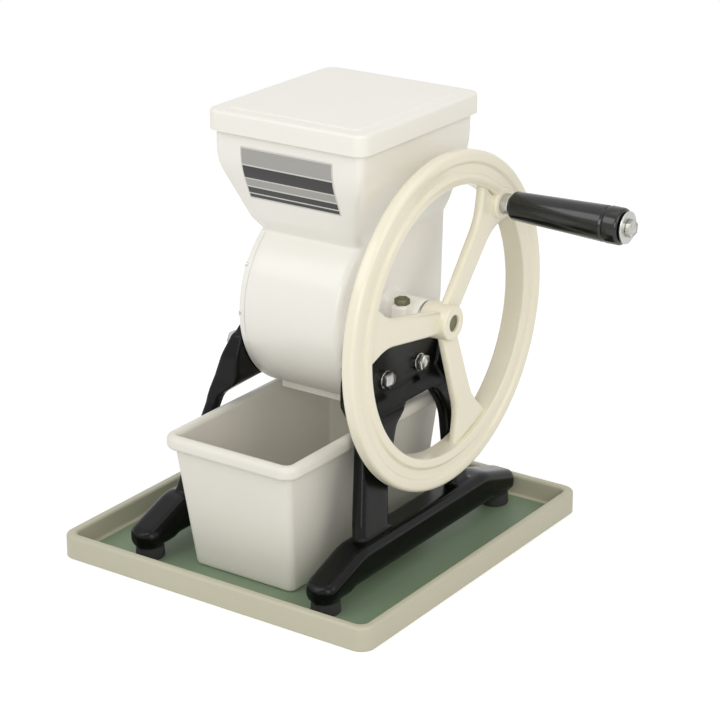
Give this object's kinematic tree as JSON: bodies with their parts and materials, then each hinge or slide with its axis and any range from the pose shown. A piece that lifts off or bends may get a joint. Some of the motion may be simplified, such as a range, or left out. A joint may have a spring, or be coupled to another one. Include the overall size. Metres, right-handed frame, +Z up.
{
  "type": "ice shaver with crank",
  "caption": "Hand cranked ice shaver with a hopper, bladed rotor drum, spoked flywheel with turning grip, lift-off lid, splayed stand, catch container and tray.",
  "frame": {"origin": "middle of the tray's underside", "axes": "+Z up, +X towards the flywheel and grip, -Y towards the container's front"},
  "size_m": [0.3718, 0.3224, 0.363],
  "materials": {
    "tray_plastic": "matt grey-green moulding",
    "container_plastic": "light grey-white moulding",
    "ivory_casting": "ivory gloss enamel",
    "lid_plastic": "ivory, satin",
    "wheel_paint": "cream gloss enamel",
    "black_casting": "black gloss enamel",
    "foot_rubber": "matt",
    "grip_plastic": "black, polished",
    "plated_screw": "bright zinc",
    "aged_screw": "dull, olive-grey",
    "blade_steel": "ground",
    "bush_brass": "turned",
    "shaft_steel": "turned",
    "rotor_metal": "cast, matt",
    "plate_print": "printed bands"
  },
  "bodies": {
    "base": {"tray": "tray_plastic", "casing": "ivory_casting", "end_cover": "ivory_casting", "bush_right": "bush_brass", "bush_left": "bush_brass", "pinch_bolt": "aged_screw", "cover_screws": "plated_screw", "blade": "blade_steel", "blade_clamp": "shaft_steel", "blade_screws": "plated_screw", "nameplate": "plate_print", "stand_right": "black_casting", "stand_left": "black_casting", "frame_bolts_right": "plated_screw", "frame_bolts_left": "plated_screw", "frame_washers_right": "plated_screw", "frame_washers_left": "plated_screw", "stand_feet": "foot_rubber"},
    "crank": {"drive_shaft": "shaft_steel", "rotor": "rotor_metal", "rotor_pin": "shaft_steel", "wheel_key": "shaft_steel", "end_screw": "plated_screw", "flywheel": "wheel_paint", "hub_screw": "aged_screw", "thrust_washer": "bush_brass", "handle_spindle": "shaft_steel", "handle_collar": "plated_screw", "grip_washer": "plated_screw", "spindle_nut": "plated_screw"},
    "grip": {"grip": "grip_plastic"},
    "lid": {"lid": "lid_plastic"},
    "container": {"container": "container_plastic"}
  },
  "joints": [
    {"name": "crank_turn", "type": "hinge", "parent": "base", "child": "crank", "pos_m": [0, 0.0269, 0.1982], "axis": [1, 0, 0], "continuous": true},
    {"name": "grip_spin", "type": "hinge", "parent": "crank", "child": "grip", "pos_m": [0.105, 0.10221, 0.277], "axis": [1, 0, 0], "continuous": true},
    {"name": "lid_lift", "type": "slide", "parent": "base", "child": "lid", "axis": [0, 0, 1], "range_m": [0, 0.15]},
    {"name": "container_pull", "type": "slide", "parent": "base", "child": "container", "axis": [0, -1, 0], "range_m": [0, 0.034]}
  ]
}
